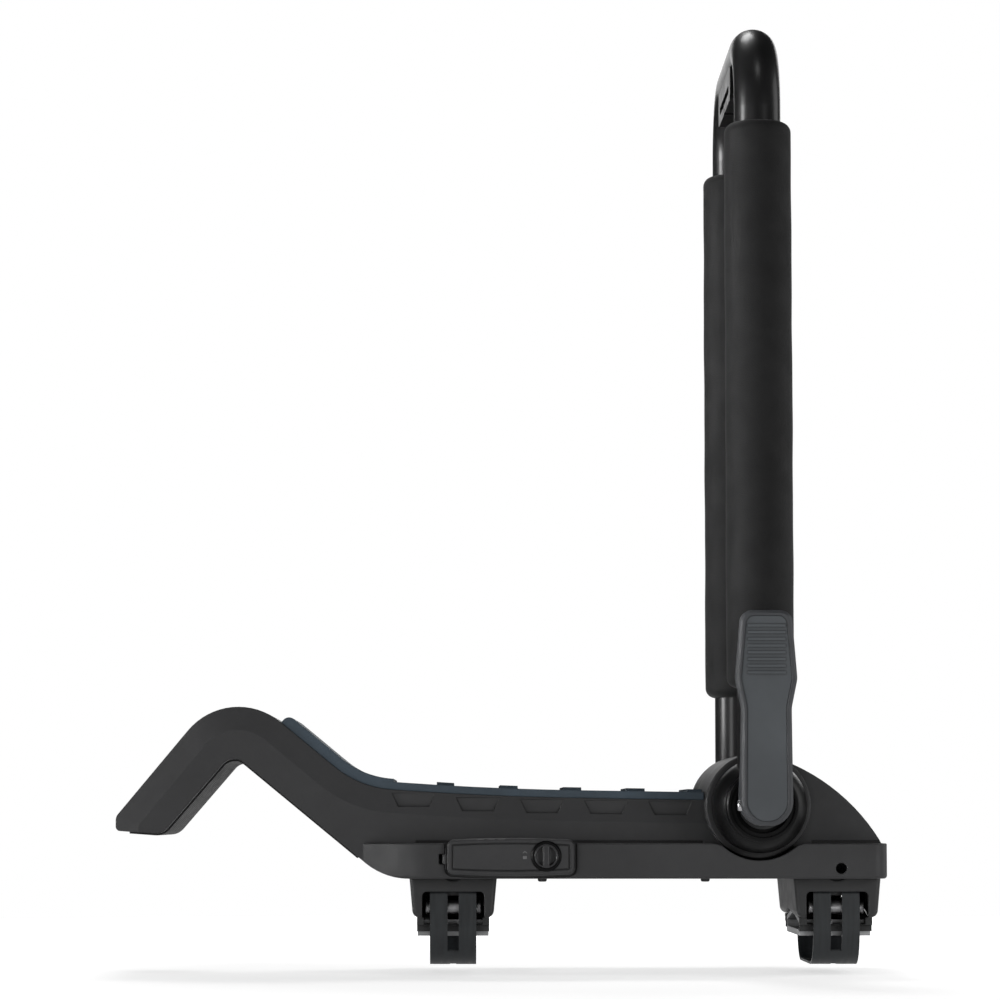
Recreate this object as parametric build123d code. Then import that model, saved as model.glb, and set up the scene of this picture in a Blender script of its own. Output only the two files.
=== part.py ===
"""Folding J-style kayak carrier for a roof crossbar.

Frame: X along the crossbar (arm tip at -X), Y along the vehicle (lever and lock side at -Y), Z up.
The origin lies on the bar seat plane, midway between the two clamp feet.
"""
import math
import os

from build123d import *

# Base body
FOOT_SPACING = 248.0
FOOT_X = FOOT_SPACING / 2
ARM_ROOT = -FOOT_X
BEAM_HALF = 70.0
EAR_HALF = 79.0
SKIRT_HALF = 90.0
SKIRT_END = FOOT_X + 30.0
SKIRT_NECK = ARM_ROOT - 28.0
SKIRT_TIP = ARM_ROOT - 58.0
SKIRT_BOTTOM = 37.5
SKIRT_TOP = 60.0
GUTTER_DEPTH = 2.0
WALL = 3.5
CREASE_DROP = 15.0
CREASE_INSET = 3.0
NOTCH_PITCH = 41.4

# Upright and its hinge
PIVOT_X = 72.0
PIVOT_Z = 84.0
TUBE_R = 15.0
TUBE_WALL = 2.0
TUBE_FOOT_Z = 105.0
TUBE_TOP_Z = 578.5
BEND_R = 45.0
PAD_R = 22.0
PAD_BOTTOM = 159.0
PAD_TOP = 523.3
EAR_R = 34.0
DRUM_R = 30.2
DRUM_NOSE_R = 23.2
DRUM_IN = EAR_HALF + 1.0
DRUM_OUT = DRUM_IN + 38.0
LEG_Y = DRUM_IN + 20.0
AXLE_R = 5.0
TEETH = 24
RUNNING = 0.05

# Cam lever
CAM_R = 14.0
CAM_Y = -DRUM_OUT - 18.0
CAM_Z = PIVOT_Z + 1.0
DOWEL_Y = CAM_Y - 1.2
LEVER_FRONT = CAM_Y - CAM_R
LEVER_TOP = 206.0
LEVER_BEVEL = 1.8
DOWEL_R = 3.5

# Tread pad
TREAD_HALF = BEAM_HALF - 4.0
TREAD_BASE = 5.0
TREAD_CROWN = 7.0
TREAD_PITCH = 41.3

# Lock cover
COVER_LEFT = -127.8
COVER_RIGHT = -46.6
COVER_MID_Z = 51.4
COVER_Y_IN = -SKIRT_HALF - 0.3
COVER_Y_OUT = COVER_Y_IN - 6.7
LOCK_X = -64.7
LOCK_Z = 52.0
HINGE_X = COVER_LEFT - 0.7
HINGE_Y = 1.6 - SKIRT_HALF
PIN_R = 1.2
LOCK_REAR = 4.0 - SKIRT_HALF
TRAY_SCREW_Y = SKIRT_HALF - 12.0
TRAY_SCREWS = [(-66.8, -TRAY_SCREW_Y), (37.7, -TRAY_SCREW_Y), (-66.8, TRAY_SCREW_Y), (37.7, TRAY_SCREW_Y)]

# Clamp foot
FOOT_HALF_Y = 64.0
FOOT_TOP_W = 56.4
FOOT_BOTTOM_W = 51.8
FOOT_BOTTOM = 12.0
FOOT_ROOF = 3.5
STRAP_W = 30.0
STRAP_T = 1.5
STRAP_Y = FOOT_HALF_Y - 7.0
SADDLE_HALF = STRAP_Y - 11.0
YOKE_HALF = STRAP_Y - 4.0
STRAP_BOTTOM = -18.8
YOKE_TOP = 29.2
SCREW_Z = 44.1
BARREL_Z = 18.6
BARREL_R = 4.4
FOOT_SCREW_Y = STRAP_Y - 13.0
WEB_Y = FOOT_SCREW_Y - 14.0
FOOT_SCREWS = [(-19.0, -FOOT_SCREW_Y), (-19.0, FOOT_SCREW_Y), (19.0, -FOOT_SCREW_Y), (19.0, FOOT_SCREW_Y)]

PARTS = {}


def prism_x(face, x0, x1):
    """Extrude a sketch drawn as (y, z) between two X planes."""
    return extrude(Plane.YZ.offset(x0) * face, x1 - x0)


def prism_y(face, y0, y1):
    """Extrude a sketch drawn as (x, z) between two Y planes."""
    return extrude(Plane.XZ.offset(-y1) * face, y1 - y0)


def prism_z(face, z0, z1):
    """Extrude a sketch drawn as (x, y) between two Z planes."""
    return extrude(Plane.XY.offset(z0) * face, z1 - z0)


def block(x, y, z):
    """Axis-aligned block from three (low, high) pairs."""
    size = (x[1] - x[0], y[1] - y[0], z[1] - z[0])
    return Pos((x[0] + x[1]) / 2, (y[0] + y[1]) / 2, (z[0] + z[1]) / 2) * Box(*size)


def disc(x, y, r):
    """Circle sketch at a point of its plane."""
    return Pos(x, y) * Circle(r)


def rod_x(y, z, r, x0, x1):
    return prism_x(disc(y, z, r), x0, x1)


def rod_y(x, z, r, y0, y1):
    return prism_y(disc(x, z, r), y0, y1)


def rod_z(x, y, r, z0, z1):
    return prism_z(disc(x, y, r), z0, z1)


def rounded(points):
    """Closed polygon from (u, v, corner radius) points."""
    face = make_face(Polyline(*[(u, v) for u, v, _ in points], close=True))
    for u, v, r in points:
        if r:
            face = fillet(face.vertices().sort_by_distance((u, v))[0], r)
    return face


def mirror_y(shape):
    """The same piece on the far side."""
    return mirror(shape, about=Plane.XZ)


def turned_about_hinge(face, side):
    """Revolve a (radius, outward distance) sketch about the hinge axis, on the near or far side."""
    ring = Pos(PIVOT_X, 0, PIVOT_Z) * revolve(face, Axis.Y, 360)
    return mirror_y(ring) if side < 0 else ring


ARM_OUTLINE = [
    (ARM_ROOT - 217.4, 68.0, 3.0),
    (ARM_ROOT - 217.4, 77.0, 6.0),
    (ARM_ROOT - 144.4, 165.0, 42.3),
    (ARM_ROOT - 60.7, 96.0, 65.0),
    (ARM_ROOT + 24.0, 90.0, 2000.0),
    (PIVOT_X - EAR_R, 87.8, 0),
    (PIVOT_X, 87.8, 0),
    (PIVOT_X, SKIRT_BOTTOM, 0),
    (ARM_ROOT - 44.5, SKIRT_BOTTOM, 45.0),
    (ARM_ROOT - 142.5, 118.0, 10.0),
    (ARM_ROOT - 187.3, 65.8, 10.0),
]


def tail_face(inset=0.0):
    """Rear hump behind the hinge, falling to the skirt in one long arc."""
    start = (PIVOT_X + 3, PIVOT_Z + EAR_R - inset - 0.2)
    end = (SKIRT_END - 1.9 - inset, SKIRT_TOP - inset)
    crown = ((start[0] + end[0]) / 2 + 1.9, (start[1] + end[1]) / 2 + 10.5)
    outline = ThreePointArc(start, crown, end)
    front = PIVOT_X - 4
    outline += Polyline(end, (end[0], SKIRT_BOTTOM), (front, SKIRT_BOTTOM), (front, start[1]), start)
    return make_face(outline)


def skirt_plan(inset=0.0):
    """Plan outline of the skirt, its left end drawn in to the arm."""
    end = SKIRT_END - inset
    half = SKIRT_HALF - inset
    neck = BEAM_HALF - inset
    return rounded([
        (end, -half, 8.0 - inset), (end, half, 8.0 - inset),
        (SKIRT_NECK, half, 30.0), (SKIRT_TIP, neck, 0),
        (SKIRT_TIP, -neck, 0), (SKIRT_NECK, -half, 30.0),
    ])


def beam_top(x):
    """Height of the beam's top line at x."""
    (x0, z0, _), (x1, z1, _), (x2, z2, _) = ARM_OUTLINE[3:6]
    if x < x1:
        return z1 + (z0 - z1) * (x - x1) / (x0 - x1)
    return z1 + (z2 - z1) * (x - x1) / (x2 - x1)


def crest_slice():
    """Outer slice of the near side wall, leaning inward along the arm's upper outline."""
    (tip_x, tip_z, _), (_, beam_z, _) = ARM_OUTLINE[1], ARM_OUTLINE[5]
    tall = rounded([(tip_x, -60.0, 0), (tip_x, tip_z, 20.0)] + ARM_OUTLINE[2:6]
                   + [(PIVOT_X + 40, beam_z, 0), (PIVOT_X + 40, -60.0, 0)])
    lean = math.degrees(math.atan2(CREASE_DROP, CREASE_INSET))
    return extrude(Plane.XZ.offset(BEAM_HALF - CREASE_INSET) * tall, CREASE_INSET, taper=lean)


def arm_solid():
    """Swooping arm and beam in one moulding, creased along both flanks."""
    face = rounded(ARM_OUTLINE)
    solid = extrude(Plane.XZ * face, BEAM_HALF - CREASE_INSET, both=True)
    full = extrude(Plane.XZ * face, BEAM_HALF, both=True)
    near = crest_slice() & full
    return solid + near + mirror_y(near)


def underside_band(depth, proud, half):
    """Band along the arm's underside, from a depth inside its outline to a height proud of it."""
    face = rounded(ARM_OUTLINE)
    band = offset(face, proud) if proud else face
    band -= offset(face, -depth) if depth else face
    corners = [(-209, 40), (-209, 72), (-194, 80), (-143, 132), (-62, 64), (-62, 40)]
    region = make_face(Polyline(*[(ARM_ROOT + x, z) for x, z in corners], close=True))
    return extrude(Plane.XZ * (band & region), half, both=True)


def hinge_dip(grow=0.0):
    """Side outline of the dip under the knuckle, blended into the skirt's top edge."""
    face = Pos(PIVOT_X, SKIRT_TOP + 40) * Rectangle(140, 80) + disc(PIVOT_X, PIVOT_Z, EAR_R + 1.0)
    corners = face.vertices().filter_by(lambda v: abs(v.Y - SKIRT_TOP) < 0.01 and abs(v.X - PIVOT_X) < 40)
    face = fillet(corners, 14.0)
    return offset(face, grow) if grow else face


def make_base_shell():
    tail = extrude(Plane.XZ * tail_face(), BEAM_HALF, both=True)
    hump = rod_y(PIVOT_X, PIVOT_Z, EAR_R, -EAR_HALF, EAR_HALF)
    hump = fillet(hump.edges().filter_by(GeomType.CIRCLE), 1.2)
    envelope = extrude(Plane.XZ * rounded(ARM_OUTLINE), 120, both=True)
    envelope += block((PIVOT_X - 10, SKIRT_END + 6), (-120, 120), (SKIRT_BOTTOM, 100))
    skirt = prism_z(skirt_plan(), SKIRT_BOTTOM, SKIRT_TOP)
    skirt = fillet(skirt.edges().group_by(Axis.Z)[0], 2.0)
    skirt = fillet(skirt.edges().group_by(Axis.Z)[-1], 0.8)
    gutter = prism_z(skirt_plan(4.0), SKIRT_TOP - GUTTER_DEPTH, SKIRT_TOP + 5)
    gutter -= block((SKIRT_TIP, SKIRT_END - 2), (-BEAM_HALF + 1, BEAM_HALF - 1), (0, 100))
    skirt = (skirt - gutter) & envelope
    for side in (-1, 1):
        low, high = sorted((side * (BEAM_HALF + 0.5), side * (SKIRT_HALF + 5)))
        skirt -= prism_y(hinge_dip(), low, high)
    shell = arm_solid() + tail + hump + skirt

    inner = offset(rounded(ARM_OUTLINE), -WALL)
    cavity = extrude(Plane.XZ * inner, BEAM_HALF - WALL - CREASE_INSET, both=True)
    cavity += extrude(Plane.XZ * tail_face(WALL), BEAM_HALF - WALL, both=True)
    cavity += rod_y(PIVOT_X, PIVOT_Z, EAR_R - WALL, -EAR_HALF + WALL, EAR_HALF - WALL)
    floor_cut = prism_z(skirt_plan(WALL), SKIRT_BOTTOM - 5, SKIRT_TOP - GUTTER_DEPTH - WALL)
    for side in (-1, 1):
        low, high = sorted((side * (BEAM_HALF - WALL), side * (SKIRT_HALF + 5)))
        floor_cut -= prism_y(hinge_dip(WALL), low, high)
    cavity += floor_cut & block((SKIRT_NECK - 0.5, SKIRT_END + 6), (-120, 120), (0, 100))
    shell -= cavity
    shell -= underside_band(WALL + 0.5, 0.0, 58.0)
    for side in (-1, 1):
        low, high = sorted((side * (EAR_HALF - 18), side * (EAR_HALF - 0.8)))
        shell += rod_y(PIVOT_X, PIVOT_Z, 11.0, low, high)
        low, high = sorted((side * (EAR_HALF - 2.5), side * (EAR_HALF + 1)))
        shell -= rod_y(PIVOT_X, PIVOT_Z, 28.2, low, high) - rod_y(PIVOT_X, PIVOT_Z, 19.8, low, high)
    shell -= rod_y(PIVOT_X, PIVOT_Z, AXLE_R + RUNNING, -100, 100)
    for i in range(5):
        x = ARM_ROOT - 25.5 + NOTCH_PITCH * i
        z = beam_top(x) - 1.2
        corners = [(x - 14.1, z), (x + 14.1, z), (x + 10.1, z - 8.7), (x - 10.1, z - 8.7)]
        notch = make_face(Polyline(*corners, close=True))
        shell -= prism_y(notch, -80, -BEAM_HALF + CREASE_INSET)
        shell -= prism_y(notch, BEAM_HALF - CREASE_INSET, 80)
    for side in (-1, 1):
        rebate = sorted((side * (BEAM_HALF - 1.5), side * (BEAM_HALF + 1)))
        for run in ((SKIRT_NECK + 4, PIVOT_X - EAR_R - 1), (PIVOT_X + EAR_R + 1, SKIRT_END)):
            shell -= block(run, rebate, (SKIRT_TOP, SKIRT_TOP + 1.6))
    skirt_wall = (-SKIRT_HALF - 5, -SKIRT_HALF + 10)
    for x in (-FOOT_X, FOOT_X):
        shell -= rod_y(x, SCREW_Z, 3.5, *skirt_wall)
    shell -= rod_y(LOCK_X, LOCK_Z, 6.2, *skirt_wall)
    shell -= block((LOCK_X - 3.2, LOCK_X + 3.2), skirt_wall, (LOCK_Z - 9.5, LOCK_Z + 1))
    groove = offset(cover_face(), 1.6)
    groove -= offset(cover_face(), -1.0)
    shell -= prism_y(groove, -SKIRT_HALF - 1, -SKIRT_HALF + 1.2)
    for x, y in TRAY_SCREWS:
        shell += rod_z(x, y, 4.5, 41.0, 55.0) - rod_z(x, y, 1.6, 40.0, 49.0)
    shell -= block((HINGE_X - 4.6, HINGE_X + 3.5), (HINGE_Y - 2.6, HINGE_Y + 3.4), (46.7, 53.3))
    shell -= rod_z(HINGE_X, HINGE_Y, PIN_R + 0.02, 43.0, 57.0)
    return shell


def cover_face():
    """Front outline of the lock cover, crowned along its long edges."""
    left, right = COVER_LEFT, COVER_RIGHT
    mid = (left + right) / 2
    low, high = COVER_MID_Z - 10.8, COVER_MID_Z + 10.8
    outline = Polyline((left, high), (left, low))
    outline += ThreePointArc((left, low), (mid, low - 1.3), (right, low))
    outline += Polyline((right, low), (right, high))
    outline += ThreePointArc((right, high), (mid, high + 1.3), (left, high))
    face = make_face(outline)
    return fillet(face.vertices(), 4.0)


def make_base_fittings():
    cover = underside_band(WALL - 0.5, 0.0, 57.8) + underside_band(0.0, 1.2, 60.0)
    groove = underside_band(1.2, 2.0, 1.3)
    for i in range(-3, 4):
        cover -= Pos(0, 16.0 * i, 0) * groove
    PARTS["arm_underside_cover"] = cover

    tray = prism_z(skirt_plan(WALL + 0.3), SKIRT_BOTTOM, SKIRT_BOTTOM + 3.0)
    tray &= block((SKIRT_NECK, SKIRT_END + 6), (-120, 120), (0, 100))
    for x in (-FOOT_X, FOOT_X):
        tray -= block((x - 17, x + 17), (-FOOT_HALF_Y - 8, 32), (30, 50))
        for dx, y in FOOT_SCREWS:
            tray -= rod_z(x + dx, y, 1.6, 30, 50)
    screws = []
    for x, y in TRAY_SCREWS:
        tray -= rod_z(x, y, 1.7, 30, 50)
        head = rod_z(x, y, 2.9, SKIRT_BOTTOM - 2.0, SKIRT_BOTTOM)
        head = fillet(head.edges().group_by(Axis.Z)[0], 1.2)
        screws.append(head + rod_z(x, y, 1.5, SKIRT_BOTTOM, 48.0))
    PARTS["base_tray"] = tray
    PARTS["tray_screws"] = Compound(children=screws)
    PARTS["tread_pad"] = make_tread()


def make_tread():
    """Rubber tread that follows the arm's inner slope and the beam, with raised cross bars."""
    face = rounded(ARM_OUTLINE)
    low = offset(face, TREAD_BASE) - face
    high = offset(face, TREAD_CROWN) - face
    end = PIVOT_X - EAR_R - 0.2
    head = [(ARM_ROOT - 76.0, 100.0), (ARM_ROOT - 115.0, 133.0), (ARM_ROOT - 104.5, 146.0)]
    flat = ARM_ROOT - 26.0
    bend = ARM_ROOT - 38.5
    run = make_face(Polyline(*head, (flat, 130.0), (end, 120.0), (end, 84.0), (flat, 84.0), close=True))
    slope = make_face(Polyline(*head, (bend, 130.0), (bend, 84.0), close=True))
    pad = extrude(Plane.XZ * (low & run), TREAD_HALF, both=True)
    pad += extrude(Plane.XZ * (high & slope), TREAD_HALF, both=True)
    starts = [ARM_ROOT - 11.4 + TREAD_PITCH * i for i in range(4)]
    for x in starts + [end - 9.8]:
        corners = [(x, 85.0), (x + 12.6, 85.0), (x + 11.4, 110.0), (x + 1.2, 110.0)]
        bar = make_face(Polyline(*corners, close=True))
        pad += extrude(Plane.XZ * (high & run & bar), TREAD_HALF - 20.0, both=True)
    crown_edge = pad.edges().filter_by(Axis.Y).sort_by(Axis.Z)[-1]
    return fillet(crown_edge, 5.0)


def tooth_ring(back, face, crest, side):
    """Face-toothed ring: flat back, radial teeth rising from its face to the crest."""
    low, high = sorted((back, face))
    band = make_face(Polyline((20.0, low), (28.0, low), (28.0, high), (20.0, high), close=True))
    ring = turned_about_hinge(band, side)
    step = 360.0 / TEETH
    width = 28.0 * math.radians(step) * 0.42
    inward = math.copysign(0.3, back - face)
    root = face + inward
    tooth = make_face(Polyline((-width, root), (width, root), (0.3, crest), (-0.3, crest), close=True))
    tooth = extrude(Plane.XY.offset(20.3) * tooth, 7.3)
    for i in range(TEETH):
        piece = Pos(PIVOT_X, 0, PIVOT_Z) * (Rot(0, step * (i + 0.5), 0) * tooth)
        ring += mirror_y(piece) if side < 0 else piece
    return ring


def make_hinge():
    for side, name in ((-1, "near"), (1, "far")):
        PARTS[f"{name}_detent_ring"] = tooth_ring(EAR_HALF - 2.5, EAR_HALF, EAR_HALF + 0.8, side)
        PARTS[f"{name}_tooth_ring"] = tooth_ring(DRUM_IN + 3.0, DRUM_IN + 0.9, DRUM_IN + 0.1, side)
        PARTS[f"{name}_knuckle"] = make_knuckle(side)
    axle = rod_y(PIVOT_X, PIVOT_Z, AXLE_R, DOWEL_Y, DRUM_OUT + 3)
    axle += rod_x(DOWEL_Y, PIVOT_Z, 7.5, PIVOT_X - 6, PIVOT_X + 6)
    axle -= rod_x(DOWEL_Y, PIVOT_Z, DOWEL_R, PIVOT_X - 10, PIVOT_X + 10)
    PARTS["hinge_axle"] = axle
    dowel = rod_x(DOWEL_Y, PIVOT_Z, DOWEL_R, PIVOT_X - 17.8, PIVOT_X + 15.8)
    PARTS["lever_dowel"] = chamfer(dowel.edges().filter_by(GeomType.CIRCLE), 0.6)
    seat = rod_y(PIVOT_X, PIVOT_Z, 15.0, -DRUM_OUT + 4, -DRUM_OUT + 8)
    seat += rod_y(PIVOT_X, PIVOT_Z, 11.5, CAM_Y + CAM_R + 0.1, -DRUM_OUT + 4)
    bore = rod_y(PIVOT_X, PIVOT_Z, AXLE_R + RUNNING, CAM_Y, DRUM_OUT + 20)
    PARTS["cam_seat"] = seat - bore
    floor = DRUM_OUT - 8
    PARTS["axle_washer"] = rod_y(PIVOT_X, PIVOT_Z, 14.0, floor, floor + 2) - bore
    nut = Pos(PIVOT_X, PIVOT_Z) * RegularPolygon(9.2, 6)
    nut = prism_y(nut, floor + 2, floor + 10)
    PARTS["axle_nut"] = nut - rod_y(PIVOT_X, PIVOT_Z, AXLE_R + 0.02, 0, DRUM_OUT + 20)


def make_knuckle(side):
    """Round hinge knuckle: broad at the ear, drawn in to a nose with a deep recess."""
    nose = Polyline((DRUM_NOSE_R, DRUM_OUT - 8), (DRUM_NOSE_R, DRUM_OUT - 1), (DRUM_NOSE_R - 1, DRUM_OUT),
                    (20.2, DRUM_OUT), (20.2, DRUM_OUT - 1.5), (17.4, DRUM_OUT - 1.5), (17.4, DRUM_OUT - 8),
                    (AXLE_R + RUNNING, DRUM_OUT - 8), (AXLE_R + RUNNING, DRUM_IN), (19.8, DRUM_IN),
                    (19.8, DRUM_IN + 3), (28.2, DRUM_IN + 3), (28.2, DRUM_IN), (DRUM_R - 0.8, DRUM_IN),
                    (DRUM_R, DRUM_IN + 0.8), (DRUM_R, DRUM_IN + 12))
    shoulder = ThreePointArc((DRUM_R, DRUM_IN + 12), (28.2, DRUM_IN + 22), (DRUM_NOSE_R, DRUM_OUT - 8))
    drum = turned_about_hinge(make_face(nose + shoulder), side)
    return drum - rod_z(PIVOT_X, side * LEG_Y, TUBE_R + 0.02, TUBE_FOOT_Z, 200)


def make_upright():
    corners = [(-LEG_Y, TUBE_FOOT_Z), (-LEG_Y, TUBE_TOP_Z), (LEG_Y, TUBE_TOP_Z), (LEG_Y, TUBE_FOOT_Z)]
    path = FilletPolyline(*corners, radius=BEND_R)
    path = Plane.YZ.offset(PIVOT_X) * path
    start = Plane(origin=(PIVOT_X, -LEG_Y, TUBE_FOOT_Z), z_dir=(0, 0, 1))
    ring = start * (Circle(TUBE_R) - Circle(TUBE_R - TUBE_WALL))
    PARTS["upright_tube"] = sweep(ring, path=path)
    for side, name in ((-1, "near"), (1, "far")):
        pad = rod_z(PIVOT_X, side * LEG_Y, PAD_R, PAD_BOTTOM, PAD_TOP)
        pad = fillet(pad.edges().filter_by(GeomType.CIRCLE), 6.5)
        bore = rod_z(PIVOT_X, side * LEG_Y, TUBE_R + 0.05, PAD_BOTTOM - 5, PAD_TOP + 5)
        PARTS[f"{name}_foam_pad"] = pad - bore
    PARTS["strap_guide"] = make_strap_guide()


def make_strap_guide():
    """Moulded guide under the cross tube: a long strap slot with a slanted entry slit."""
    bottom = TUBE_TOP_Z - 29.5
    top = TUBE_TOP_Z - 7
    half = LEG_Y - BEND_R - 3.0
    side = rounded([(-half, bottom, 5.0), (half, bottom, 5.0), (half, top, 3.0), (-half, top, 3.0)])
    side -= Pos(0, bottom + 9.0) * SlotOverall(80.0, 5.5)
    corners = [(-4.0, bottom - 2), (0.0, bottom - 2), (7.0, bottom + 8), (3.0, bottom + 8)]
    slit = make_face(Polyline(*corners, close=True))
    guide = prism_x(side - slit, PIVOT_X - 14, PIVOT_X + 14)
    return guide - rod_y(PIVOT_X, TUBE_TOP_Z, TUBE_R + 0.02, -80, 80)


def lever_outline(inset=0.0):
    """Front outline of the lever: round foot, waisted shank, flared paddle."""
    half = 16.2 - inset
    side = [(half, 86.8, 0), (15.6 - inset, 145.0, 20.0), (19.3 - inset, 163.0, 16.0),
            (15.8 - inset, LEVER_TOP - inset, 7.5 - 0.6 * inset)]
    points = [(PIVOT_X + u, v, r) for u, v, r in side]
    points += [(PIVOT_X - u, v, r) for u, v, r in reversed(side)]
    return rounded(points) + disc(PIVOT_X, 86.8, half)


def make_lever():
    body = make_face(Polyline((LEVER_FRONT, CAM_Z), (LEVER_FRONT, LEVER_TOP), (LEVER_FRONT + 9, LEVER_TOP),
                              (LEVER_FRONT + 11, 150.0), (LEVER_FRONT + 15, 114.0), (CAM_Y + 12.4, 91.5),
                              (CAM_Y, CAM_Z), close=True))
    foot = rounded([(LEVER_FRONT, CAM_Z - CAM_R, 7.0), (CAM_Y, CAM_Z - CAM_R, 0), (CAM_Y, CAM_Z, 0),
                    (LEVER_FRONT, CAM_Z, 0)])
    side = body + foot + disc(CAM_Y, CAM_Z, CAM_R)
    lever = prism_y(lever_outline(), LEVER_FRONT + LEVER_BEVEL, LEVER_FRONT + 40)
    lever += extrude(Plane.XZ.offset(-LEVER_FRONT - LEVER_BEVEL) * lever_outline(), LEVER_BEVEL, taper=45)
    lever &= prism_x(side, PIVOT_X - 30, PIVOT_X + 30)
    lever -= rod_x(DOWEL_Y, PIVOT_Z, DOWEL_R + RUNNING, PIVOT_X - 30, PIVOT_X + 30)
    slot = disc(DOWEL_Y, PIVOT_Z, 7.9)
    back = DOWEL_Y + 37.0
    over = PIVOT_Z + 7.9
    slot += make_face(Polyline((DOWEL_Y - 7.9, 40.0), (back, 40.0), (back, over), (DOWEL_Y, over),
                               (DOWEL_Y - 7.9, PIVOT_Z), close=True))
    lever -= prism_x(slot, PIVOT_X - 6.2, PIVOT_X + 6.2)
    panel = lever_outline(3.4)
    lever -= prism_y(panel, LEVER_FRONT - 2, LEVER_FRONT + 1.6)
    PARTS["cam_lever"] = lever
    inlay = prism_y(offset(panel, -0.15), LEVER_FRONT + 0.3, LEVER_FRONT + 1.6)
    for i in range(8):
        z = 166.9 + 4.2 * i
        ridge = block((-12.0, 12.0), (-0.4, 0.4), (-0.9, 0.9))
        inlay += Pos(PIVOT_X, LEVER_FRONT, z) * ridge
    PARTS["lever_inlay"] = inlay


def make_lock():
    """Lock cover on the near skirt, its hinge pin, and the turn lock in it."""
    cover = prism_y(cover_face(), COVER_Y_OUT, COVER_Y_IN)
    front = cover.edges().filter_by(lambda e: abs(e.center().Y - COVER_Y_OUT) < 0.05)
    cover = fillet(front, 1.5)
    back = cover.edges().filter_by(lambda e: abs(e.center().Y - COVER_Y_IN) < 0.05)
    cover = chamfer(back.sort_by(Axis.X)[0], 2.4)
    panel = offset(cover_face(), -3.0)
    groove = panel - offset(panel, -0.9)
    cover -= prism_y(groove, COVER_Y_OUT - 1, COVER_Y_OUT + 0.7)
    cover += rod_z(HINGE_X, HINGE_Y, 2.6, 47.2, 52.8)
    cover += block((COVER_LEFT, COVER_LEFT + 2.4), (COVER_Y_IN - 2.0, HINGE_Y), (47.2, 52.8))
    cover -= rod_z(HINGE_X, HINGE_Y, PIN_R + RUNNING, 40, 60)
    cover -= rod_y(LOCK_X, LOCK_Z, 9.75, COVER_Y_OUT - 3, COVER_Y_OUT + 4)
    cover -= rod_y(LOCK_X, LOCK_Z, 5.6, COVER_Y_OUT - 3, LOCK_REAR)
    PARTS["lock_cover"] = cover
    PARTS["lock_cover_pin"] = rod_z(HINGE_X, HINGE_Y, PIN_R, 43.2, 56.8)
    sleeve = rod_y(LOCK_X, LOCK_Z, 9.7, COVER_Y_OUT - 0.8, COVER_Y_OUT + 4)
    sleeve = chamfer(sleeve.edges().group_by(Axis.Y)[0], 0.8)
    PARTS["lock_sleeve"] = sleeve - rod_y(LOCK_X, LOCK_Z, 7.5 + RUNNING, COVER_Y_OUT - 3, LOCK_REAR)
    core = rod_y(LOCK_X, LOCK_Z, 7.5, COVER_Y_OUT - 0.8, COVER_Y_OUT + 3.9)
    core += rod_y(LOCK_X, LOCK_Z, 5.5, COVER_Y_OUT + 3.9, LOCK_REAR)
    scoop = disc(LOCK_X, LOCK_Z, 6.4) - Pos(LOCK_X, LOCK_Z) * Rectangle(4.2, 20)
    PARTS["lock_core"] = core - prism_y(scoop, COVER_Y_OUT - 2, COVER_Y_OUT + 2.4)
    tongue = rounded([(LOCK_X - 2.2, LOCK_Z - 9.0, 1.5), (LOCK_X + 2.2, LOCK_Z - 9.0, 1.5),
                      (LOCK_X + 2.2, LOCK_Z + 2.6, 0.5), (LOCK_X - 2.2, LOCK_Z + 2.6, 0.5)])
    PARTS["lock_tongue"] = prism_y(tongue, LOCK_REAR, LOCK_REAR + 2.0)


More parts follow.
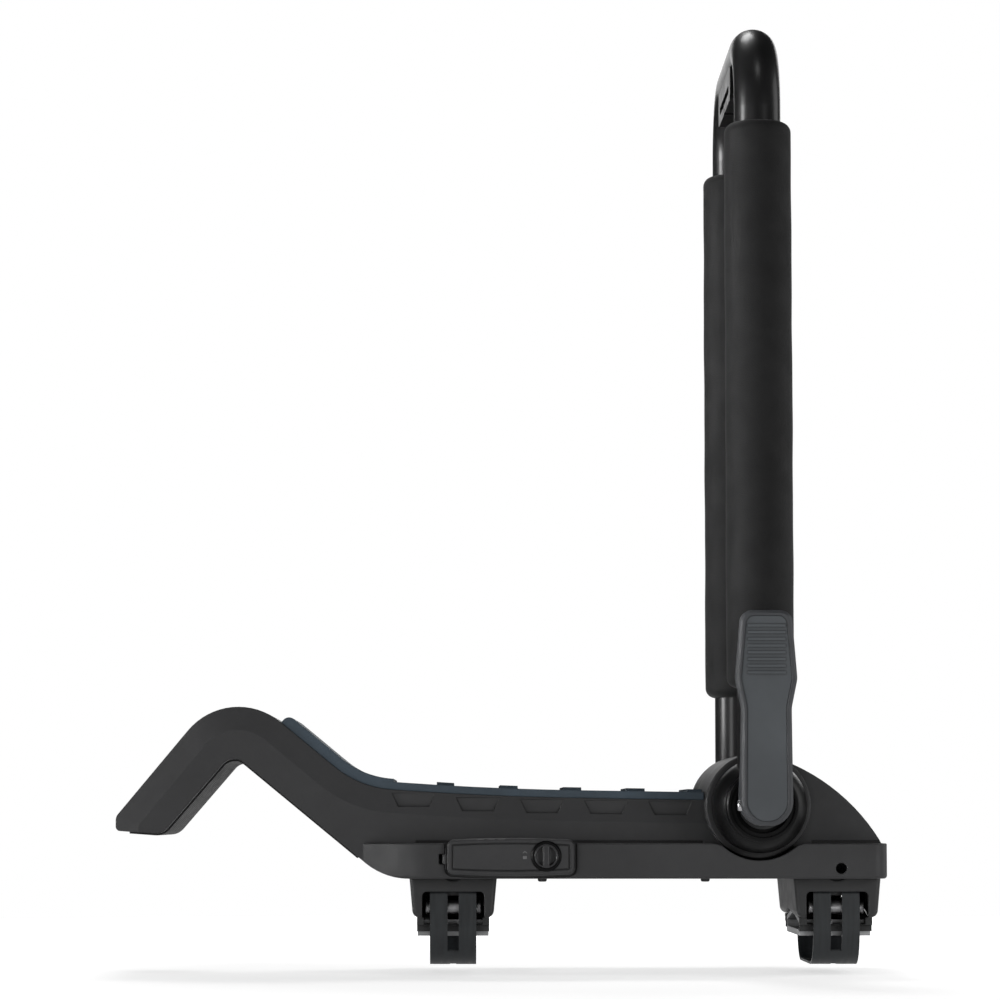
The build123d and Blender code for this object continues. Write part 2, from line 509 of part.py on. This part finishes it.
def make_foot(x, name):
    """Clamp foot under the base: housing, bar saddle, and the screw, wedge and strap that grip the bar."""
    top, bottom = FOOT_TOP_W / 2, FOOT_BOTTOM_W / 2
    roof_z = SKIRT_BOTTOM - FOOT_ROOF
    front = rounded([(x - top, SKIRT_BOTTOM, 0), (x + top, SKIRT_BOTTOM, 0),
                     (x + bottom, FOOT_BOTTOM, 5.0), (x - bottom, FOOT_BOTTOM, 5.0)])
    housing = prism_y(front, -FOOT_HALF_Y, FOOT_HALF_Y)
    ends = housing.edges().filter_by(lambda e: abs(abs(e.center().Y) - FOOT_HALF_Y) < 0.05)
    housing = fillet(ends.filter_by(lambda e: e.center().Z < SKIRT_BOTTOM - 0.5), 2.5)
    core = rounded([(x - top + 4.2, roof_z, 2.0), (x + top - 4.2, roof_z, 2.0),
                    (x + bottom - 3.4, 0, 0), (x - bottom + 3.4, 0, 0)])
    housing -= prism_y(core, 4 - FOOT_HALF_Y, WEB_Y) + prism_y(core, WEB_Y + 3, FOOT_HALF_Y - 4)
    housing -= block((x - 13.5, x + 13.5), (WEB_Y - 1, WEB_Y + 4), (0, YOKE_TOP + 1))
    window = rounded([(x - 20, 28.8, 3.0), (x + 20, 28.8, 3.0), (x + 20, 0, 0), (x - 20, 0, 0)])
    for side in (-1, 1):
        low, high = sorted((side * (FOOT_HALF_Y - 4.5), side * (FOOT_HALF_Y + 5)))
        housing -= prism_y(window, low, high)
    half = SADDLE_HALF
    seat = Polyline((-half - 0.2, 0), (-half, 10.5), (0.0, 17.8), (half, 10.5), (half + 0.2, 0), close=True)
    housing -= prism_x(make_face(seat), x - 40, x + 40)
    housing -= block((x - 14, x + 14), (-4.5, 10.5), (30, 40))
    housing -= rod_y(x, SCREW_Z, 8.5, -FOOT_HALF_Y - 1, -FOOT_HALF_Y + 1.5)
    crest = SCREW_Z + 8
    lug = rounded([(x - 9, roof_z, 0), (x + 9, roof_z, 0), (x + 9, crest, 5.0), (x - 9, crest, 5.0)])
    lug -= disc(x, SCREW_Z, 4.0 + RUNNING)
    housing += prism_y(lug, -FOOT_HALF_Y + 2, -FOOT_HALF_Y + 9) + prism_y(lug, 22.0, 28.0)
    screws = []
    for dx, y in FOOT_SCREWS:
        housing -= rod_z(x + dx, y, 1.6, roof_z - 5, SKIRT_BOTTOM + 5)
        head = rod_z(x + dx, y, 3.0, roof_z - 2.3, roof_z)
        screws.append(head + rod_z(x + dx, y, 1.6, roof_z, SKIRT_BOTTOM + 3))
    PARTS[f"{name}_foot_housing"] = housing
    PARTS[f"{name}_foot_screws"] = Compound(children=screws)

    wall = SADDLE_HALF - 3.0
    hollow = Polyline((-wall, 3.8), (wall, 3.8), (wall, 8.2), (0, 14.8), (-wall, 8.2), close=True)
    outer = make_face(Polyline((-SADDLE_HALF, 0), (SADDLE_HALF, 0), (SADDLE_HALF, 10.5), (0, 17.8),
                               (-SADDLE_HALF, 10.5), close=True))
    PARTS[f"{name}_bar_saddle"] = prism_x(outer - make_face(hollow), x - 23, x + 23)
    lip = -SADDLE_HALF - 9.0
    buffer = make_face(Polyline((-SADDLE_HALF, 3), (-SADDLE_HALF, 12), (lip, 12), (lip, 7), (lip + 3.5, 7),
                                (lip + 3.5, 3), close=True))
    buffer = prism_x(buffer, x - 23.4, x + 23.4)
    buffer -= block((x - 19, x + 19), (lip - 5, -SADDLE_HALF + 6), (7.5, 20))
    PARTS[f"{name}_bar_buffers"] = Compound(children=[buffer, mirror_y(buffer)])
    make_clamp(x, name)


def make_clamp(x, name):
    """Screw-driven wedge that lifts the yoke, and with it both ends of the strap."""
    head = 2.0 - FOOT_HALF_Y - RUNNING
    screw = rod_y(x, SCREW_Z, 4.0, head - 2, 28.0) + rod_y(x, SCREW_Z, 5.6, head - 8, head)
    screw -= prism_y(Pos(x, SCREW_Z) * RegularPolygon(3.2, 6), head - 9, head - 3.5)
    PARTS[f"{name}_clamp_screw"] = screw
    rise = SCREW_Z + 12.9
    wedge = make_face(Polyline((-8, 38.5), (10, 38.5), (10, rise + 9.9), (-8, rise - 8.1), close=True))
    wedge = prism_x(wedge, x - 9.8, x + 9.8)
    PARTS[f"{name}_clamp_wedge"] = wedge - rod_y(x, SCREW_Z, 4.0 + RUNNING, -20, 20)

    yoke = block((x - 13, x + 13), (-YOKE_HALF, YOKE_HALF), (YOKE_TOP - 3, YOKE_TOP))
    tower = make_face(Polyline((-3, 28), (9, 28), (9, rise + 12.4), (-3, rise + 0.4), close=True))
    under = [(-4, YOKE_TOP), (10, YOKE_TOP), (10, rise + 10), (-2, rise - 2), (-4, rise - 2)]
    under = make_face(Polyline(*under, close=True))
    yoke += prism_x(tower, x - 13, x + 13) - prism_x(under, x - 10.2, x + 10.2)
    barrels = []
    for side in (-1, 1):
        y = side * (STRAP_Y - 5.4)
        barrel = rod_x(y, BARREL_Z, BARREL_R, x - 18, x + 18)
        barrel = chamfer(barrel.edges().filter_by(GeomType.CIRCLE), 0.5)
        for ear_x in (x - 8.5, x + 8.5):
            ear = block((ear_x - 1.2, ear_x + 1.2), (y - 4.3, y + 4.3), (BARREL_Z - 5.0, YOKE_TOP - 2))
            journal = rod_x(y, BARREL_Z, 2.9, ear_x - 2, ear_x + 2)
            yoke += ear - rod_x(y, BARREL_Z, 2.9 + RUNNING, ear_x - 2, ear_x + 2)
            barrel -= rod_x(y, BARREL_Z, 6, ear_x - 1.3, ear_x + 1.3) - journal
        barrels.append(barrel)
    PARTS[f"{name}_draw_yoke"] = yoke
    PARTS[f"{name}_strap_barrels"] = Compound(children=barrels)

    tab_z = YOKE_TOP + STRAP_T / 2
    tab_end = STRAP_Y - 15.0
    low = STRAP_BOTTOM + STRAP_T / 2
    corners = [(-tab_end, tab_z), (-STRAP_Y, tab_z), (-STRAP_Y, low)]
    corners += [(-y, z) for y, z in reversed(corners)]
    line = FilletPolyline(*corners, radius=(3.0, 24.0, 24.0, 3.0))
    strap = prism_x(trace(line, line_width=STRAP_T), x - STRAP_W / 2, x + STRAP_W / 2)
    strap -= block((x - 3.6, x + 3.6), (-STRAP_Y - 6, -STRAP_Y + 6), (-9.7, 40))
    strap -= block((x - 2.0, x + 2.0), (19 - STRAP_Y, STRAP_Y - 19), (-25, -15))
    PARTS[f"{name}_clamp_strap"] = strap


def main():
    PARTS["base_shell"] = make_base_shell()
    make_base_fittings()
    make_hinge()
    make_upright()
    make_lever()
    make_lock()
    make_foot(-FOOT_X, "inner")
    make_foot(FOOT_X, "outer")
    os.makedirs("parts", exist_ok=True)
    for name, shape in PARTS.items():
        export_step(shape, f"parts/{name}.step")


main()
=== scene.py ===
"""Looks of the folding kayak carrier: materials, foam sleeves, lock marks, camera and studio."""
import math

import bpy
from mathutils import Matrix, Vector


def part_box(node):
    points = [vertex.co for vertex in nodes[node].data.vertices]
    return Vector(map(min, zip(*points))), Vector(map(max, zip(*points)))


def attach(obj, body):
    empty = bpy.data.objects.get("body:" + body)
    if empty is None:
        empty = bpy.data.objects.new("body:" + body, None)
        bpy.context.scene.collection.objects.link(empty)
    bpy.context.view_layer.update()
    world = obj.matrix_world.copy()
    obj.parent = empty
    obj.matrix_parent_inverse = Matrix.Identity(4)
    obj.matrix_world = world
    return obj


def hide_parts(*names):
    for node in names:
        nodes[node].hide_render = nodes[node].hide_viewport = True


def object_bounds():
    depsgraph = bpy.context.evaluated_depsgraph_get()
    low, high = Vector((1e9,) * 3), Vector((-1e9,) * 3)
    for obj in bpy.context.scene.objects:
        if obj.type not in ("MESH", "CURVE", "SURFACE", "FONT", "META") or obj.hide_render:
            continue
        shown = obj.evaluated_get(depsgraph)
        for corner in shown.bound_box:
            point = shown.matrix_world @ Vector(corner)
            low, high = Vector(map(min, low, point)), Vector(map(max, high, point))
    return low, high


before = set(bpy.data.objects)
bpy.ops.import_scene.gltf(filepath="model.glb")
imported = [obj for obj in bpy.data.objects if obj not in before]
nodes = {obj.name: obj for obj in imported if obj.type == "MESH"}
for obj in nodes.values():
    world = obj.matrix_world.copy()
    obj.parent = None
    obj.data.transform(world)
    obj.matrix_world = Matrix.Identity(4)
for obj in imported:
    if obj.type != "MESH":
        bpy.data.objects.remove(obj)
cad_low, cad_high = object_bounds()

# The scene is in metres
MM = 0.001
WHITE = (1.0, 1.0, 1.0, 1.0)
EVEN = (1.0, 1.0, 1.0)

# Sockets of a colour Mix node, by number because their names repeat
MIX_FACTOR, MIX_A, MIX_B, MIX_RESULT = 0, 6, 7, 2

# Range of noise that is stretched over a material's full variation
NOISE_LOW, NOISE_HIGH = 0.3, 0.7

# Painted shade: seams and inner corners darken over this reach, from the open share down to the shut one
PAINTED_SHADE_REACH = 5.0 * MM
PAINTED_SHADE_SHUT, PAINTED_SHADE_OPEN = 0.25, 0.95

# Foam sleeves
TUBE_FIT = 0.05 * MM
SLEEVE_INSET = 0.2 * MM
SLEEVE_LIP = 0.8 * MM
SLEEVE_ROLL = 6.5 * MM
LIP_ZONE = 2.0 * MM
ROLL_STEPS = 8
SKIN_STEPS = 120
SLEEVE_SIDES = 96
WAVE_DEPTH = 0.22 * MM
WAVE_PHASE = {"near": 0.0, "far": 1.7}
# Each wave: its share, radians per metre of height, lobes around the sleeve
WAVES = ((1.0, 61.0, 0), (0.6, 143.0, 2), (0.5, 27.0, 3))
WAVE_SHARES = sum(share for share, pitch, lobes in WAVES)

# Printed marks on the lock cover, their outlines in mm around a point beside the lock
MARK_FROM_RIGHT = 31.7 * MM
MARK_RISE = 0.6 * MM
MARK_PROUD = 0.02 * MM
MARK_THICKNESS = 0.06 * MM
CLOSED_MARK = ((-1.2, -1.9), (1.2, -1.9), (1.2, 0.1), (-1.2, 0.1))
OPEN_MARK = ((-1.5, 2.0), (0.0, 3.4), (1.5, 2.0), (1.1, 1.7), (0.0, 2.7), (-1.1, 1.7))

# Camera, fitted to the photo
SENSOR_WIDTH = 36.0
LENS = 131.55
SHIFT_UP = 0.03
NEAREST = 0.05
EYE = (-0.1203, -2.431, 0.0774)
VIEW_LINE = (0.0112, 1.0, 0.0783)

# Floor: low enough for a strap at the end of its travel, and whiter to the camera farther out
STRAP_DROP = 6.0 * MM
FLOOR_GAP = 0.2 * MM
FLOOR_RADIUS = 1.35
FLOOR_SIDES = 64
FLOOR_GLOW = 0.36
FADE_FROM, FADE_TO = 0.30, 0.95
FADE_NEAR, FADE_FAR = 0.24, 0.75

# Backdrop: white to the camera, a weak fill for the part
BACKDROP = 1.0
FILL = 0.03

# Each light: its place, target, width and height, watts, spread in degrees
LIGHTS = {
    "key_left": ((-1.4, -2.1, 0.25), (0.0, 0.0, 0.12), (0.7, 0.8), 14.5, 180.0),
    "key_right": ((1.3, -2.1, 0.25), (0.0, 0.0, 0.12), (0.7, 0.8), 17.0, 180.0),
    "side": ((-1.9, -0.3, 0.80), (0.07, 0.0, 0.66), (1.1, 1.2), 4.6, 26.0),
    "top": ((-0.3, 1.2, 2.2), (0.05, 0.0, 0.45), (0.7, 0.7), 13.0, 180.0),
    "hood": ((0.12, -0.95, 2.1), (0.07, 0.0, 0.58), (1.1, 1.0), 0.35, 24.0),
    "back": ((0.5, 2.4, 0.9), (0.0, 0.0, 0.2), (2.0, 1.2), 16.0, 180.0),
    "rim": ((1.6, 0.2, 0.6), (0.05, 0.0, 0.3), (0.8, 1.4), 8.0, 180.0),
}

# What each look dresses; the other nodes are bright steel
LOOK_NODES = {
    "body": ("base_shell", "base_tray", "lock_cover"),
    "underside": ("arm_underside_cover",),
    "knuckle": ("near_knuckle", "far_knuckle", "strap_guide"),
    "foot": ("inner_foot_housing", "outer_foot_housing"),
    "lever": ("cam_lever",),
    "panel": ("lever_inlay",),
    "lock": ("lock_sleeve",),
    "core": ("lock_core",),
    "rubber": ("tread_pad",),
    "buffer": ("inner_bar_buffers", "outer_bar_buffers"),
    "foam": ("near_foam_pad", "far_foam_pad"),
    "paint": ("upright_tube",),
    "strap": ("inner_clamp_strap", "outer_clamp_strap"),
    "zinc": ("inner_strap_barrels", "outer_strap_barrels"),
    "saddle": ("inner_bar_saddle", "outer_bar_saddle"),
    "iron": ("near_detent_ring", "far_detent_ring", "near_tooth_ring", "far_tooth_ring",
             "inner_clamp_wedge", "outer_clamp_wedge"),
    "black": ("cam_seat", "lock_cover_pin", "tray_screws", "inner_clamp_screw", "outer_clamp_screw",
              "inner_draw_yoke", "outer_draw_yoke"),
}
NODE_LOOKS = {name: look for look, names in LOOK_NODES.items() for name in names}

# Moulded plastics, with the arguments of moulded()
PLASTICS = {
    "body": dict(name="body_plastic", colour=(0.0208, 0.0208, 0.0220), roughness=0.56, edge=1.0 * MM),
    # Painted shade: the foot housings get a darker copy of the body plastic, to hold back the rim light on
    # them
    "foot": dict(name="foot_shaded_plastic", colour=(0.0135, 0.0138, 0.0145), roughness=0.52, edge=1.4 * MM),
    "lever": dict(name="lever_plastic", colour=(0.037, 0.039, 0.043), roughness=0.60, edge=1.2 * MM),
    "panel": dict(name="lever_panel", colour=(0.055, 0.061, 0.067), roughness=0.60, grain=3400.0),
    # Painted shade: the knuckles and strap guide get a much darker copy of the body plastic, for the shadow
    # they sit in
    "knuckle": dict(name="knuckle_shaded_plastic", colour=(0.0030, 0.0030, 0.0032), roughness=0.36,
                    depth=0.03 * MM, gloss=0.15),
    # Painted shade: the underside cover gets a darker copy of the body plastic, for the shade under the arm
    "underside": dict(name="underside_shaded_plastic", colour=(0.007, 0.007, 0.0073), roughness=0.60),
    "buffer": dict(name="buffer_rubber", colour=(0.016, 0.0165, 0.017), roughness=0.66),
    "lock": dict(name="lock_plastic", colour=(0.0014, 0.0014, 0.0016), roughness=0.36,
                 grain=3800.0, depth=0.02 * MM, gloss=0.15),
    "core": dict(name="core_plastic", colour=(0.025, 0.025, 0.0265), roughness=0.32,
                 grain=3800.0, depth=0.01 * MM, edge=1.8 * MM, painted_shade=0.55),
    "print": dict(name="mark_print", colour=(0.11, 0.11, 0.112), roughness=0.60,
                  grain=3800.0, depth=0.03 * MM),
}


class Look:
    """A principled material whose detail comes from object-space noise."""

    def __init__(self, name, colour, roughness, metallic=0.0, **sockets):
        self.material = bpy.data.materials.new(name)
        self.material.use_nodes = True
        self.tree = self.material.node_tree
        self.shader = self.tree.nodes["Principled BSDF"]
        self.colour = colour
        self.roughness = roughness
        self.normal = None
        self.shader.inputs["Base Color"].default_value = (*colour, 1.0)
        self.shader.inputs["Roughness"].default_value = roughness
        self.shader.inputs["Metallic"].default_value = metallic
        for socket, value in sockets.items():
            self.shader.inputs[socket.replace("_", " ")].default_value = value

    def node(self, kind, sockets=None, **settings):
        """Add a shader node, set its settings, and give its sockets their constants."""
        made = self.tree.nodes.new("ShaderNode" + kind)
        for key, value in settings.items():
            setattr(made, key, value)
        for socket, value in (sockets or {}).items():
            made.inputs[socket].default_value = value
        return made

    def link(self, source, target):
        self.tree.links.new(source, target)

    def place(self, stretch=EVEN):
        mapping = self.node("Mapping", {"Scale": stretch})
        self.link(self.node("TexCoord").outputs["Object"], mapping.inputs["Vector"])
        return mapping.outputs["Vector"]

    def noise(self, scale, detail=3.0, rough=0.5, stretch=EVEN):
        made = self.node("TexNoise", {"Scale": scale, "Detail": detail, "Roughness": rough})
        self.link(self.place(stretch), made.inputs["Vector"])
        return made.outputs["Fac"]

    def cells(self, scale):
        made = self.node("TexVoronoi", {"Scale": scale})
        self.link(self.place(), made.inputs["Vector"])
        return made.outputs["Distance"]

    def ramp(self, factor, low, high, value_low=0.0, value_high=1.0):
        limits = {"From Min": low, "From Max": high, "To Min": value_low, "To Max": value_high}
        made = self.node("MapRange", limits)
        self.link(factor, made.inputs["Value"])
        return made.outputs["Result"]

    def vary_colour(self, factor, amount, low=NOISE_LOW, high=NOISE_HIGH, tint=EVEN):
        """Mix from the darker to the lighter side of the colour as the factor goes from low to high."""
        dark = [c * (1 - amount) for c in self.colour]
        light = [c * (1 + amount) * t for c, t in zip(self.colour, tint)]
        made = self.node("Mix", data_type="RGBA")
        made.inputs[MIX_A].default_value = (*dark, 1.0)
        made.inputs[MIX_B].default_value = (*light, 1.0)
        self.link(self.ramp(factor, low, high), made.inputs[MIX_FACTOR])
        self.link(made.outputs[MIX_RESULT], self.shader.inputs["Base Color"])

    def vary_roughness(self, factor, amount):
        smooth, rough = self.roughness - amount, self.roughness + amount
        spread = self.ramp(factor, NOISE_LOW, NOISE_HIGH, smooth, rough)
        self.link(spread, self.shader.inputs["Roughness"])

    def shade(self, deepest):
        """Paint shade into the colour: seams and inner corners go darker by ambient occlusion."""
        base = self.shader.inputs["Base Color"]
        hollow = self.node("AmbientOcclusion", {"Distance": PAINTED_SHADE_REACH}, samples=8)
        made = self.node("Mix", data_type="RGBA", blend_type="MULTIPLY")
        made.inputs[MIX_FACTOR].default_value = 1.0
        self.link(base.links[0].from_socket, made.inputs[MIX_A])
        self.link(self.ramp(hollow.outputs["AO"], PAINTED_SHADE_SHUT, PAINTED_SHADE_OPEN, deepest), made.inputs[MIX_B])
        self.link(made.outputs[MIX_RESULT], base)

    def soften(self, radius):
        """Round the edges in the shading; the next bump builds on it."""
        self.normal = self.node("Bevel", {"Radius": radius}, samples=4).outputs["Normal"]

    def bump(self, height, strength, depth):
        made = self.node("Bump", {"Strength": strength, "Distance": depth})
        self.link(height, made.inputs["Height"])
        if self.normal is not None:
            self.link(self.normal, made.inputs["Normal"])
        self.normal = made.outputs["Normal"]
        self.link(self.normal, self.shader.inputs["Normal"])


def moulded(name, colour, roughness, grain=2600.0, depth=0.06 * MM, edge=0.8 * MM, gloss=0.45, painted_shade=0.03):
    """Spark-textured moulded plastic or rubber with faint flow clouds, and painted shade darkening its
    seams and inner corners.
    """
    look = Look(name, colour, roughness, Specular_IOR_Level=gloss)
    look.soften(edge)
    look.vary_colour(look.noise(14.0, detail=4.0, rough=0.6), 0.13, low=0.35, high=0.68)
    look.vary_roughness(look.noise(90.0), 0.05)
    look.bump(look.noise(grain, detail=2.0, rough=0.6), 0.55, depth)
    # Painted shade: ambient occlusion darkens the colour in seams and inner corners
    look.shade(painted_shade)
    return look


def tread_rubber():
    look = Look("tread_rubber", (0.034, 0.049, 0.063), 0.66, Specular_IOR_Level=0.4)
    look.soften(1.0 * MM)
    look.vary_colour(look.noise(22.0, detail=5.0, rough=0.65), 0.16, tint=(1.0, 1.02, 1.05))
    look.vary_roughness(look.noise(120.0), 0.07)
    look.bump(look.cells(1500.0), 0.5, 0.08 * MM)
    return look


def pad_foam():
    """Closed-cell foam: fine pores over soft dents."""
    look = Look("pad_foam", (0.0042, 0.0042, 0.0044), 0.74, Specular_IOR_Level=0.30,
                Sheen_Weight=0.05, Sheen_Roughness=0.45)
    look.vary_colour(look.noise(9.0, detail=5.0, rough=0.62), 0.28, high=0.72)
    look.vary_roughness(look.noise(60.0, detail=4.0), 0.06)
    look.bump(look.ramp(look.cells(1250.0), 0.0, 0.7), 0.55, 0.12 * MM)
    look.bump(look.noise(34.0), 0.35, 0.9 * MM)
    return look


def tube_paint():
    look = Look("tube_paint", (0.009, 0.009, 0.0093), 0.38, Specular_IOR_Level=0.16,
                Coat_Weight=0.20, Coat_Roughness=0.20)
    look.vary_colour(look.noise(30.0), 0.2, low=0.35, high=0.65)
    look.vary_roughness(look.noise(60.0), 0.03)
    look.bump(look.noise(160.0, detail=2.0), 0.03, 0.10 * MM)
    return look


def streaked(look, edge, scale, stretch, tone, scatter):
    """Give a metal the streaks of drawing, turning or rolling, and return them."""
    look.soften(edge)
    streaks = look.noise(scale, detail=4.0, rough=0.6, stretch=stretch)
    look.vary_colour(streaks, tone)
    look.vary_roughness(streaks, scatter)
    return streaks


def strap_steel():
    look = Look("strap_steel", (0.021, 0.0235, 0.0255), 0.44, 0.35)
    streaked(look, 0.3 * MM, 420.0, (1.0, 0.12, 0.08), tone=0.22, scatter=0.09)
    look.bump(look.noise(1900.0, detail=2.0), 0.25, 0.04 * MM)
    return look


def bright_steel():
    look = Look("bright_steel", (0.52, 0.52, 0.53), 0.30, 1.0)
    turned = streaked(look, 0.3 * MM, 900.0, (0.05, 1.0, 1.0), tone=0.16, scatter=0.10)
    look.bump(turned, 0.25, 0.03 * MM)
    return look


def saddle_aluminium():
    look = Look("saddle_aluminium", (0.34, 0.345, 0.35), 0.42, 1.0)
    drawn = streaked(look, 0.4 * MM, 1100.0, (0.02, 1.0, 1.0), tone=0.14, scatter=0.09)
    look.bump(drawn, 0.3, 0.03 * MM)
    return look


def mottled(look, spots, tone, patches, scatter):
    """Give a metal the spots of plating or casting."""
    look.soften(0.3 * MM)
    look.vary_colour(look.noise(spots, detail=4.0), tone)
    look.vary_roughness(look.noise(patches), scatter)


def barrel_zinc():
    """Zinc-plated barrels with a knurl."""
    look = Look("barrel_zinc", (0.24, 0.24, 0.245), 0.40, 1.0)
    mottled(look, spots=260.0, tone=0.25, patches=300.0, scatter=0.08)
    knurl = look.node("TexWave", {"Scale": 420.0}, wave_type="BANDS", bands_direction="DIAGONAL")
    look.link(look.place(), knurl.inputs["Vector"])
    look.bump(knurl.outputs["Fac"], 0.5, 0.2 * MM)
    return look


def black_steel():
    look = Look("black_steel", (0.018, 0.018, 0.019), 0.46, 0.4)
    mottled(look, spots=240.0, tone=0.25, patches=300.0, scatter=0.08)
    look.bump(look.noise(1500.0, detail=2.0), 0.3, 0.04 * MM)
    return look


def ring_metal():
    look = Look("ring_metal", (0.16, 0.16, 0.165), 0.50, 0.9)
    mottled(look, spots=380.0, tone=0.3, patches=240.0, scatter=0.10)
    look.bump(look.noise(1300.0), 0.4, 0.06 * MM)
    return look


def make_looks():
    looks = {key: moulded(**values) for key, values in PLASTICS.items()}
    looks.update(rubber=tread_rubber(), foam=pad_foam(), paint=tube_paint(), strap=strap_steel(),
                 bright=bright_steel(), zinc=barrel_zinc(), black=black_steel(), iron=ring_metal(),
                 saddle=saddle_aluminium())
    return {key: look.material for key, look in looks.items()}


LOOKS = make_looks()


def dress_nodes():
    for name, piece in nodes.items():
        piece.data.materials.clear()
        piece.data.materials.append(LOOKS[NODE_LOOKS.get(name, "bright")])


def add_object(name, data):
    made = bpy.data.objects.new(name, data)
    bpy.context.scene.collection.objects.link(made)
    return made


def add_mesh(name, points, faces, look, body, smooth=True):
    mesh = bpy.data.meshes.new(name)
    mesh.from_pydata(points, [], faces)
    mesh.materials.append(LOOKS[look])
    if smooth:
        mesh.shade_smooth()
    piece = add_object(name, mesh)
    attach(piece, body)
    return piece


def sleeve_profile(inner, outer, length):
    """Half section as (radius, height): a lip on the tube, a rolled end, the skin, and the other end."""
    end = [(inner, 0.0), (inner + SLEEVE_LIP, 0.0)]
    for i in range(ROLL_STEPS + 1):
        a = math.pi / 2 * i / ROLL_STEPS
        radius = outer - SLEEVE_ROLL + SLEEVE_ROLL * math.sin(a)
        end.append((radius, SLEEVE_ROLL - SLEEVE_ROLL * math.cos(a)))
    straight = length - 2 * SLEEVE_ROLL
    skin = [(outer, SLEEVE_ROLL + straight * i / SKIN_STEPS) for i in range(1, SKIN_STEPS)]
    return end + skin + [(r, length - z) for r, z in reversed(end)]


def foam_sleeve(side):
    """Foam sleeve on one leg: soft rolled ends, faint waves where it was pulled over the tube."""
    node = f"{side}_foam_pad"
    low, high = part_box(node)
    tube_low, tube_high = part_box("upright_tube")
    centre = (low + high) / 2
    inner = (tube_high.x - tube_low.x) / 2 + TUBE_FIT
    outer = (high.x - low.x) / 2 - SLEEVE_INSET
    profile = sleeve_profile(inner, outer, high.z - low.z)
    phase = WAVE_PHASE[side]
    points, faces = [], []
    for r, z in profile:
        for j in range(SLEEVE_SIDES):
            a = 2 * math.pi * j / SLEEVE_SIDES
            reach = r
            if r > inner + LIP_ZONE:
                wave = sum(share * math.sin(pitch * z + lobes * a + phase) for share, pitch, lobes in WAVES)
                reach -= WAVE_DEPTH * (1.0 + wave / WAVE_SHARES)
            points.append((centre.x + reach * math.cos(a), centre.y + reach * math.sin(a), low.z + z))
    rings = len(profile)
    for i in range(rings):
        this_ring, next_ring = i * SLEEVE_SIDES, (i + 1) % rings * SLEEVE_SIDES
        for j in range(SLEEVE_SIDES):
            n = (j + 1) % SLEEVE_SIDES
            faces.append((this_ring + j, this_ring + n, next_ring + n, next_ring + j))
    sleeve = add_mesh(f"{side}_foam_sleeve", points, faces, "foam", "upright")
    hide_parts(node)


def lock_marks():
    """Small printed closed and open marks beside the turn lock."""
    low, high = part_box("lock_cover")
    x = high.x - MARK_FROM_RIGHT
    z = (low.z + high.z) / 2 + MARK_RISE
    front = low.y - MARK_PROUD
    points, faces = [], []
    for outline in (CLOSED_MARK, OPEN_MARK):
        first, count = len(points), len(outline)
        for y in (front, front + MARK_THICKNESS):
            points.extend((x + u * MM, y, z + v * MM) for u, v in outline)
        faces.append(tuple(range(first, first + count)))
        faces.append(tuple(reversed(range(first + count, first + 2 * count))))
        for i in range(count):
            k = (i + 1) % count
            faces.append((first + k, first + i, first + count + i, first + count + k))
    add_mesh("lock_marks", points, faces, "print", "lock_flap", smooth=False)


def look_along(piece, line):
    piece.rotation_euler = Vector(line).to_track_quat("-Z", "Y").to_euler()


def make_camera():
    data = bpy.data.cameras.new("camera")
    data.sensor_width = SENSOR_WIDTH
    data.lens = LENS
    data.shift_y = SHIFT_UP
    data.clip_start = NEAREST
    camera = add_object("camera", data)
    camera.location = EYE
    look_along(camera, VIEW_LINE)
    bpy.context.scene.camera = camera


def area_light(name, place, target, size, power, spread):
    data = bpy.data.lights.new(name, "AREA")
    data.shape = "RECTANGLE"
    data.size, data.size_y = size
    data.energy = power
    data.spread = math.radians(spread)
    light = add_object(name, data)
    light.location = place
    look_along(light, Vector(target) - Vector(place))


def floor_paper():
    """White paper that glows, to the camera more so farther out."""
    look = Look("floor_paper", (0.86, 0.86, 0.86), 0.9, Specular_IOR_Level=0.2, Emission_Color=WHITE)
    look.vary_colour(look.noise(3.0), 0.006)
    reach = look.node("VectorMath", operation="LENGTH")
    look.link(look.place(), reach.inputs[0])
    rays = look.node("LightPath")
    glow = look.node("Math", operation="MULTIPLY_ADD")
    look.link(look.ramp(reach.outputs["Value"], FADE_FROM, FADE_TO, FADE_NEAR, FADE_FAR), glow.inputs[0])
    look.link(rays.outputs["Is Camera Ray"], glow.inputs[1])
    glow.inputs[2].default_value = FLOOR_GLOW
    look.link(glow.outputs[0], look.shader.inputs["Emission Strength"])
    return look.material


def make_floor():
    z = cad_low.z - STRAP_DROP - FLOOR_GAP
    angles = [2 * math.pi * i / FLOOR_SIDES for i in range(FLOOR_SIDES)]
    points = [(FLOOR_RADIUS * math.cos(a), FLOOR_RADIUS * math.sin(a), z) for a in angles]
    mesh = bpy.data.meshes.new("floor")
    mesh.from_pydata(points, [], [tuple(range(FLOOR_SIDES))])
    mesh.materials.append(floor_paper())
    floor = add_object("floor", mesh)


def make_backdrop():
    world = bpy.data.worlds.new("studio")
    world.use_nodes = True
    tree = world.node_tree
    fill = tree.nodes["Background"]
    sweep = tree.nodes.new("ShaderNodeBackground")
    for background, strength in ((fill, FILL), (sweep, BACKDROP)):
        background.inputs["Color"].default_value = WHITE
        background.inputs["Strength"].default_value = strength
    rays = tree.nodes.new("ShaderNodeLightPath")
    choose = tree.nodes.new("ShaderNodeMixShader")
    tree.links.new(rays.outputs["Is Camera Ray"], choose.inputs[0])
    tree.links.new(fill.outputs[0], choose.inputs[1])
    tree.links.new(sweep.outputs[0], choose.inputs[2])
    tree.links.new(choose.outputs[0], tree.nodes["World Output"].inputs["Surface"])
    bpy.context.scene.world = world


def make_studio():
    make_floor()
    make_backdrop()
    for name, values in LIGHTS.items():
        area_light(name, *values)
    bpy.context.scene.view_settings.view_transform = "Standard"
    bpy.context.scene.view_settings.look = "None"


dress_nodes()
foam_sleeve("near")
foam_sleeve("far")
lock_marks()
make_camera()
make_studio()
